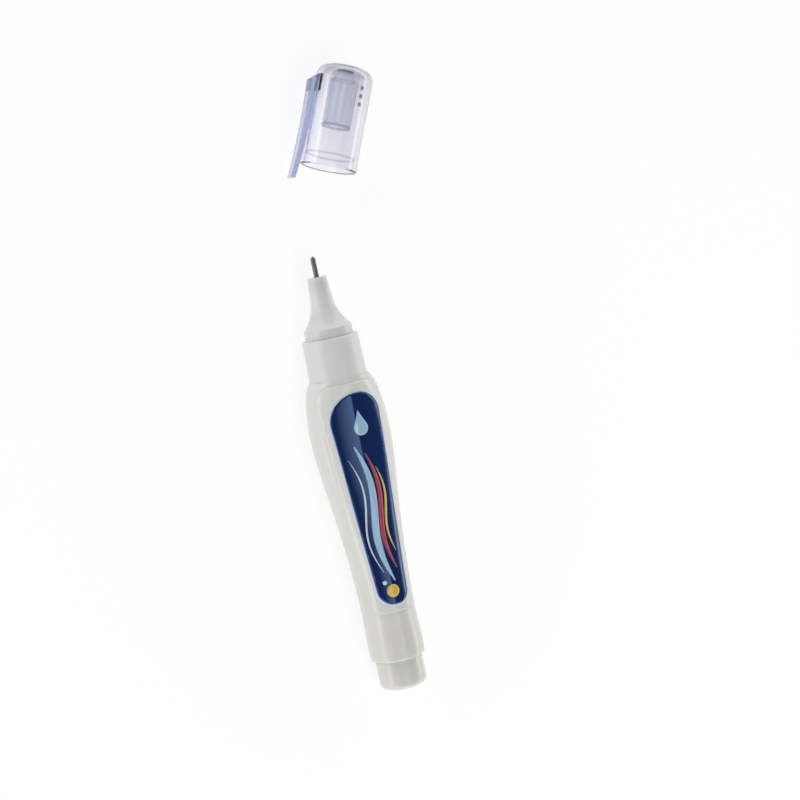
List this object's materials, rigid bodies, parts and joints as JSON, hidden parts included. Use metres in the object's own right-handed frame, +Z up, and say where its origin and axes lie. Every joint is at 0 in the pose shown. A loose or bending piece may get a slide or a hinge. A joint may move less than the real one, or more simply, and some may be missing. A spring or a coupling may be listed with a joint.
{
  "type": "correction pen",
  "caption": "Squeeze correction pen with an oval bottle, label, flared nozzle and sprung metal tip, its clear clip cap lying beside it and able to go back on.",
  "frame": {"origin": "centre of the pen's flat rear face, on the pen's axis", "axes": "+X along the pen to its tip, +Z up out of the label, pen and cap both lie on a surface below"},
  "size_m": [0.1835, 0.0411, 0.0175],
  "materials": {
    "bottle_plastic": "soft white polyethylene",
    "white_plastic": "neutral white polypropylene",
    "clear_film": "clear label film",
    "label_ink": "glossy navy print",
    "gasket_rubber": "soft seal",
    "steel": "stainless steel",
    "valve_plastic": "natural plastic",
    "clear_plastic": "clear polystyrene with a blue tint",
    "sleeve_plastic": "translucent blue sleeve"
  },
  "bodies": {
    "pen": {"bottle": "bottle_plastic", "label_film": "clear_film", "label_panel": "label_ink", "collar": "white_plastic", "nozzle": "white_plastic", "neck_gasket": "gasket_rubber", "tip_tube": "steel", "valve_spring": "steel", "spring_retainer": "valve_plastic"},
    "needle": {"valve_needle": "steel", "needle_follower": "valve_plastic"},
    "ball": {"mixing_ball": "steel"},
    "cap": {"cap_shell": "clear_plastic", "cap_clip": "clear_plastic", "inner_cap": "sleeve_plastic"}
  },
  "joints": [
    {"name": "cap_swing", "type": "hinge", "parent": "pen", "child": "cap", "pos_m": [0.10525, -0.1184, 0], "axis": [0, 0, 1], "range_deg": [0, 23.8]},
    {"name": "needle_press", "type": "slide", "parent": "pen", "child": "needle", "axis": [-1, 0, 0], "range_m": [0, 0.0008], "stiffness_N_per_m": 150, "springref_m": -0.002, "deforming": ["valve_spring"]},
    {"name": "ball_roll", "type": "slide", "parent": "pen", "child": "ball", "axis": [1, 0, 0], "range_m": [-0.037, 0.038]}
  ]
}
